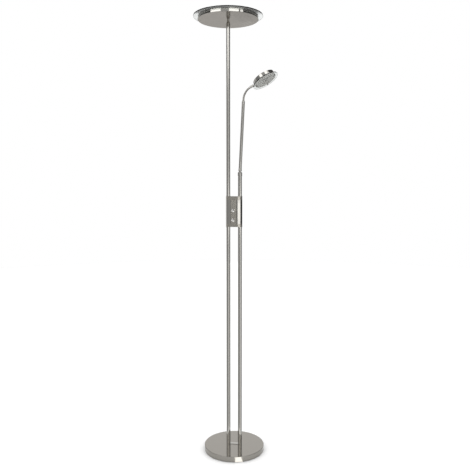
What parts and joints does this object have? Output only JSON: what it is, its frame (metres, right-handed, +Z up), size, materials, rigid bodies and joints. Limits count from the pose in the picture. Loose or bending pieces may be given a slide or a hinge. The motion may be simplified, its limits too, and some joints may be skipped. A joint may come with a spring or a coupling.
{
  "type": "torchiere floor lamp",
  "caption": "Floor lamp with a round weighted base, parallel metal tubes, a glass-topped uplighter dish, a dimmer box and a reading head on a tilting arm with a flexible neck.",
  "frame": {"origin": "centre of the base on the floor", "axes": "+Z up; +X from the main tube towards the side tube with the reading arm; -Y is the front, where the dimmer knobs are"},
  "size_m": [0.3402, 0.2802, 1.8],
  "materials": {
    "satin_nickel": "satin brushed nickel plate on steel",
    "brushed_panel": "vertically brushed nickel plate",
    "polished_nickel": "polished nickel plate",
    "cast_iron": "rough black paint",
    "zinc_steel": "zinc plated",
    "brass": "turned brass",
    "pad_foam": "matt black foam rubber",
    "black_rubber": "matt rubber",
    "lead_jacket": "flexible jacket",
    "terminal_plastic": "natural nylon",
    "dimmer_plastic": "moulded plastic",
    "circuit_board": "white solder mask",
    "aluminium": "mill finish",
    "opal_plastic": "opal diffuser",
    "clear_glass": "clear float glass, polished edge"
  },
  "bodies": {
    "stand": {"base_pad": "pad_foam", "bottom_plate": "zinc_steel", "base_cover": "satin_nickel", "base_weight": "cast_iron", "foot_plate": "satin_nickel", "foot_nipples": "zinc_steel", "foot_washers": "zinc_steel", "foot_nuts": "zinc_steel", "cord_grommet": "black_rubber", "terminal_block": "terminal_plastic", "main_tube_lower": "satin_nickel", "side_tube_lower": "satin_nickel", "main_tube_upper": "satin_nickel", "side_tube_stub": "satin_nickel", "tube_bushes": "brass", "tube_collars": "satin_nickel", "neck_cone": "satin_nickel", "inner_leads": "lead_jacket", "end_block_bottom": "satin_nickel", "end_block_top": "satin_nickel", "box_sleeve": "satin_nickel", "front_panel": "brushed_panel", "box_screws": "polished_nickel", "box_nipples": "zinc_steel", "box_nuts": "zinc_steel", "uplight_dimmer": "dimmer_plastic", "reading_dimmer": "dimmer_plastic", "dimmer_nuts": "polished_nickel", "dimmer_board": "circuit_board", "dish_pan": "satin_nickel", "dish_nipple": "zinc_steel", "dish_nut": "zinc_steel", "heat_spreader": "aluminium", "uplight_led_board": "circuit_board", "dish_diffuser": "opal_plastic", "glass_gasket": "black_rubber", "dish_glass": "clear_glass"},
    "uplight_dial": {"uplight_knob": "polished_nickel", "uplight_shaft": "zinc_steel"},
    "reading_dial": {"reading_knob": "polished_nickel", "reading_shaft": "zinc_steel"},
    "swivel": {"knuckle_cup": "satin_nickel", "swivel_clip": "zinc_steel"},
    "arm": {"arm_base": "satin_nickel", "arm_tube": "satin_nickel", "arm_ferrule": "satin_nickel"},
    "neck_1": {"neck_link_1": "satin_nickel"},
    "neck_2": {"neck_link_2": "satin_nickel"},
    "neck_3": {"neck_link_3": "satin_nickel"},
    "neck_4": {"neck_link_4": "satin_nickel"},
    "neck_5": {"neck_link_5": "satin_nickel"},
    "neck_end": {"neck_ferrule": "satin_nickel"},
    "head": {"head_pan": "satin_nickel", "head_led_board": "circuit_board", "head_diffuser": "opal_plastic", "head_glass": "clear_glass", "glass_caps": "polished_nickel", "centre_screw": "polished_nickel", "head_stem": "polished_nickel", "head_nut": "zinc_steel"}
  },
  "joints": [
    {"name": "uplight_dial_turn", "type": "hinge", "parent": "stand", "child": "uplight_dial", "pos_m": [0, -0.0233, 1.02], "axis": [0, 1, 0], "range_deg": [0, 270]},
    {"name": "reading_dial_turn", "type": "hinge", "parent": "stand", "child": "reading_dial", "pos_m": [0, -0.0233, 0.981], "axis": [0, 1, 0], "range_deg": [0, 270]},
    {"name": "arm_swivel", "type": "hinge", "parent": "stand", "child": "swivel", "pos_m": [0.0243, 0, 1.16], "axis": [0, 0, 1], "range_deg": [-110, 110]},
    {"name": "arm_tilt", "type": "hinge", "parent": "swivel", "child": "arm", "pos_m": [0.0243, 0, 1.173], "axis": [0, 1, 0], "range_deg": [-5, 18]},
    {"name": "neck_bend_1", "type": "hinge", "parent": "arm", "child": "neck_1", "pos_m": [0.03871, 0, 1.47295], "axis": [0, 1, 0], "range_deg": [-9.4, 9]},
    {"name": "neck_bend_2", "type": "hinge", "parent": "neck_1", "child": "neck_2", "pos_m": [0.04077, 0, 1.48253], "axis": [0, 1, 0], "range_deg": [-9.4, 9]},
    {"name": "neck_bend_3", "type": "hinge", "parent": "neck_2", "child": "neck_3", "pos_m": [0.04437, 0, 1.49165], "axis": [0, 1, 0], "range_deg": [-9.4, 9]},
    {"name": "neck_bend_4", "type": "hinge", "parent": "neck_3", "child": "neck_4", "pos_m": [0.04941, 0, 1.50005], "axis": [0, 1, 0], "range_deg": [-9.4, 9]},
    {"name": "neck_bend_5", "type": "hinge", "parent": "neck_4", "child": "neck_5", "pos_m": [0.05575, 0, 1.50752], "axis": [0, 1, 0], "range_deg": [-9.4, 9]},
    {"name": "neck_bend_6", "type": "hinge", "parent": "neck_5", "child": "neck_end", "pos_m": [0.06323, 0, 1.51385], "axis": [0, 1, 0], "range_deg": [-9.4, 9]},
    {"name": "head_roll", "type": "hinge", "parent": "neck_end", "child": "head", "pos_m": [0.07525, 0, 1.52103], "axis": [0.8585, 0, 0.5128], "range_deg": [-90, 90]}
  ],
  "couplings": [
    {"joint": "neck_bend_2", "follows": "neck_bend_1", "ratio": 1},
    {"joint": "neck_bend_3", "follows": "neck_bend_1", "ratio": 1},
    {"joint": "neck_bend_4", "follows": "neck_bend_1", "ratio": 1},
    {"joint": "neck_bend_5", "follows": "neck_bend_1", "ratio": 1},
    {"joint": "neck_bend_6", "follows": "neck_bend_1", "ratio": 1}
  ]
}
